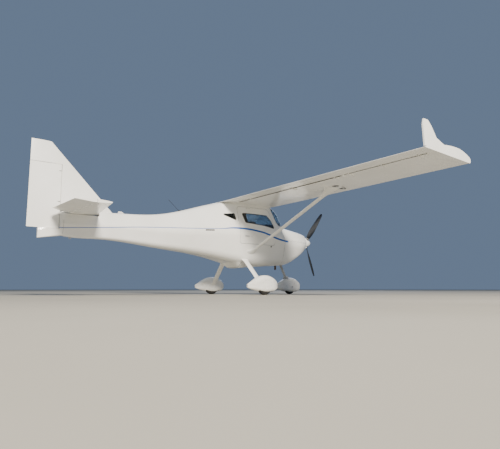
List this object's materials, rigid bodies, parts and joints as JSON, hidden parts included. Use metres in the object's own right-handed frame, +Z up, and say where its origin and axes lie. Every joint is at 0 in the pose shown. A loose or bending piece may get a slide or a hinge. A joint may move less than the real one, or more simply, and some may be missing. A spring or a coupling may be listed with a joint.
{
  "type": "high-wing microlight aeroplane",
  "caption": "High-wing strut-braced two-seat composite aeroplane on nose-wheel gear, parked, with working doors, wheels, propeller and control surfaces.",
  "frame": {"origin": "centre of the overall box, on the ground under the wheels", "axes": "-Y towards the nose, +X to port along the wing, +Z up"},
  "size_m": [9.8, 6.634, 2.6],
  "materials": {
    "composite_white": "gloss",
    "cabin_glazing": "gloss",
    "propeller_dark": "gloss",
    "tyre_black": "matte",
    "rim_aluminium": "satin",
    "gear_steel": "satin",
    "exhaust_steel": "satin",
    "engine_iron": "matte",
    "firewall_metal": "satin",
    "panel_black": "matte",
    "seat_fabric": "matte"
  },
  "bodies": {
    "airframe": {"cabin_shell": "composite_white", "rear_fuselage": "composite_white", "tailcone": "composite_white", "fin": "composite_white", "tailplane": "composite_white", "centre_section": "composite_white", "cowl_upper": "composite_white", "cowl_lower": "composite_white", "belly_fairing": "composite_white", "wing_left": "composite_white", "wing_right": "composite_white", "wing_strut_left": "composite_white", "wing_strut_right": "composite_white", "main_leg_left": "composite_white", "main_leg_right": "composite_white", "main_spat_left": "composite_white", "main_spat_right": "composite_white", "windscreen": "cabin_glazing", "quarter_window_left": "cabin_glazing", "quarter_window_right": "cabin_glazing", "engine_mount": "gear_steel", "nose_leg": "gear_steel", "main_axle_left": "gear_steel", "main_axle_right": "gear_steel", "control_sticks": "gear_steel", "tie_down_tail": "gear_steel", "tie_down_left": "gear_steel", "tie_down_right": "gear_steel", "exhaust": "exhaust_steel", "engine_block": "engine_iron", "firewall": "firewall_metal", "instrument_panel": "panel_black", "cabin_floor": "panel_black", "antenna": "panel_black", "seats": "seat_fabric"},
    "propeller": {"propeller": "propeller_dark", "spinner": "composite_white"},
    "nose_steer": {"nose_fork": "gear_steel", "nose_axle": "gear_steel", "nose_spat": "composite_white"},
    "nose_wheel": {"nose_rim": "rim_aluminium", "nose_tyre": "tyre_black"},
    "main_wheel_left": {"main_rim_left": "rim_aluminium", "main_tyre_left": "tyre_black"},
    "main_wheel_right": {"main_rim_right": "rim_aluminium", "main_tyre_right": "tyre_black"},
    "door_left": {"door_left": "composite_white", "door_window_left": "cabin_glazing"},
    "door_right": {"door_right": "composite_white", "door_window_right": "cabin_glazing"},
    "flap_left": {"flap_left": "composite_white"},
    "flap_right": {"flap_right": "composite_white"},
    "aileron_left": {"aileron_left": "composite_white"},
    "aileron_right": {"aileron_right": "composite_white"},
    "elevator": {"elevator": "composite_white"},
    "rudder": {"rudder": "composite_white"}
  },
  "joints": [
    {"name": "propeller_spin", "type": "hinge", "parent": "airframe", "child": "propeller", "pos_m": [0, -3.127, 1.25], "axis": [0, 1, 0], "continuous": true},
    {"name": "main_wheel_left_spin", "type": "hinge", "parent": "airframe", "child": "main_wheel_left", "pos_m": [0.935, -0.967, 0.18], "axis": [1, 0, 0], "continuous": true},
    {"name": "main_wheel_right_spin", "type": "hinge", "parent": "airframe", "child": "main_wheel_right", "pos_m": [-0.935, -0.967, 0.18], "axis": [1, 0, 0], "continuous": true},
    {"name": "rudder_turn", "type": "hinge", "parent": "airframe", "child": "rudder", "pos_m": [0, 2.833, 1.25], "axis": [0, 0, 1], "range_deg": [-25, 25]},
    {"name": "nose_steer_turn", "type": "hinge", "parent": "airframe", "child": "nose_steer", "pos_m": [0, -2.567, 0.17], "axis": [0, 0.4856, 0.8742], "range_deg": [-20, 20]},
    {"name": "nose_wheel_spin", "type": "hinge", "parent": "nose_steer", "child": "nose_wheel", "pos_m": [0, -2.567, 0.17], "axis": [1, 0, 0], "continuous": true},
    {"name": "elevator_turn", "type": "hinge", "parent": "airframe", "child": "elevator", "pos_m": [0, 2.683, 1.43], "axis": [-1, 0, 0], "range_deg": [-28, 22]},
    {"name": "aileron_left_turn", "type": "hinge", "parent": "airframe", "child": "aileron_left", "pos_m": [4, -0.6029, 2.01347], "axis": [-0.9999, 0, -0.0157], "range_deg": [-18, 18]},
    {"name": "aileron_right_turn", "type": "hinge", "parent": "airframe", "child": "aileron_right", "pos_m": [-4, -0.6029, 2.01347], "axis": [-0.9999, 0, 0.0157], "range_deg": [-18, 18]},
    {"name": "flap_left_turn", "type": "hinge", "parent": "airframe", "child": "flap_left", "pos_m": [1.8, -0.6029, 1.97891], "axis": [-0.9999, 0, -0.0157], "range_deg": [0, 38]},
    {"name": "flap_right_turn", "type": "hinge", "parent": "airframe", "child": "flap_right", "pos_m": [-1.8, -0.6029, 1.97891], "axis": [-0.9999, 0, 0.0157], "range_deg": [0, 38]},
    {"name": "door_left_swing", "type": "hinge", "parent": "airframe", "child": "door_left", "pos_m": [0.475, -1.127, 1.844], "axis": [0, -1, 0], "range_deg": [0, 72]},
    {"name": "door_right_swing", "type": "hinge", "parent": "airframe", "child": "door_right", "pos_m": [-0.475, -1.127, 1.844], "axis": [0, 1, 0], "range_deg": [0, 72]}
  ],
  "couplings": [
    {"joint": "nose_steer_turn", "follows": "rudder_turn", "ratio": -0.8},
    {"joint": "aileron_right_turn", "follows": "aileron_left_turn", "ratio": -1},
    {"joint": "flap_right_turn", "follows": "flap_left_turn", "ratio": 1}
  ]
}
